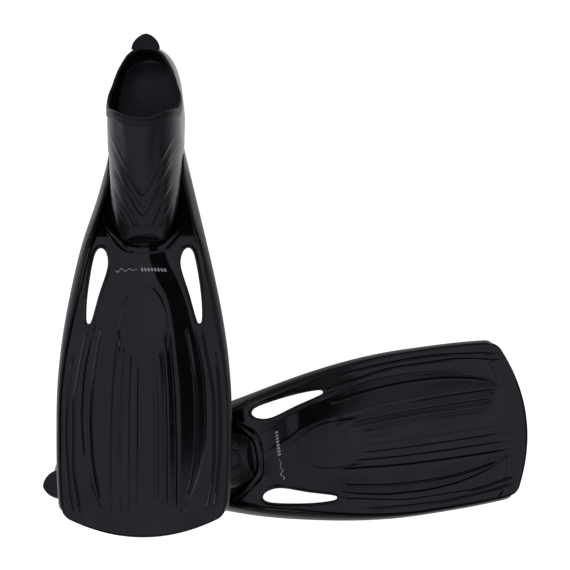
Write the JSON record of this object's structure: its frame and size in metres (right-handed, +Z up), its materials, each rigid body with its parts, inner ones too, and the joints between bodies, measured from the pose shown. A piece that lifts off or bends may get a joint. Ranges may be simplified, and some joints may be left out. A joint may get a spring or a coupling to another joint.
{
  "type": "swim fins",
  "caption": "Pair of full-foot snorkelling fins with windowed plastic blades, rubber side rails and rubber foot pockets, one lying across the other.",
  "frame": {"origin": "on the ground, under the middle of the pair's bounding box", "axes": "+Z up from the ground; +Y towards the heel of the upper fin, whose blade points to -Y; +X roughly the way the lower fin's blade points"},
  "size_m": [0.6326, 0.6364, 0.1169],
  "materials": {
    "blade_plastic": "glossy moulded black polypropylene",
    "rail_rubber": "satin black thermoplastic rubber",
    "pocket_rubber": "satin black moulded rubber",
    "cuff_rubber": "matt black rubber band",
    "tab_rubber": "fine-grained matt black rubber",
    "outsole_rubber": "matt black treaded rubber",
    "insole_rubber": "matt dimpled black rubber"
  },
  "bodies": {
    "under_fin": {"under_fin_blade": "blade_plastic", "under_fin_rail_left": "rail_rubber", "under_fin_rail_right": "rail_rubber", "under_fin_foot_pocket": "pocket_rubber", "under_fin_opening_cuff": "cuff_rubber", "under_fin_heel_tab": "tab_rubber", "under_fin_outsole": "outsole_rubber", "under_fin_insole": "insole_rubber"},
    "top_fin": {"top_fin_blade": "blade_plastic", "top_fin_rail_left": "rail_rubber", "top_fin_rail_right": "rail_rubber", "top_fin_foot_pocket": "pocket_rubber", "top_fin_opening_cuff": "cuff_rubber", "top_fin_heel_tab": "tab_rubber", "top_fin_outsole": "outsole_rubber", "top_fin_insole": "insole_rubber"}
  },
  "joints": [
    {"name": "top_fin_lift", "type": "slide", "parent": "under_fin", "child": "top_fin", "axis": [0, 0, 1], "range_m": [0, 0.25]}
  ]
}
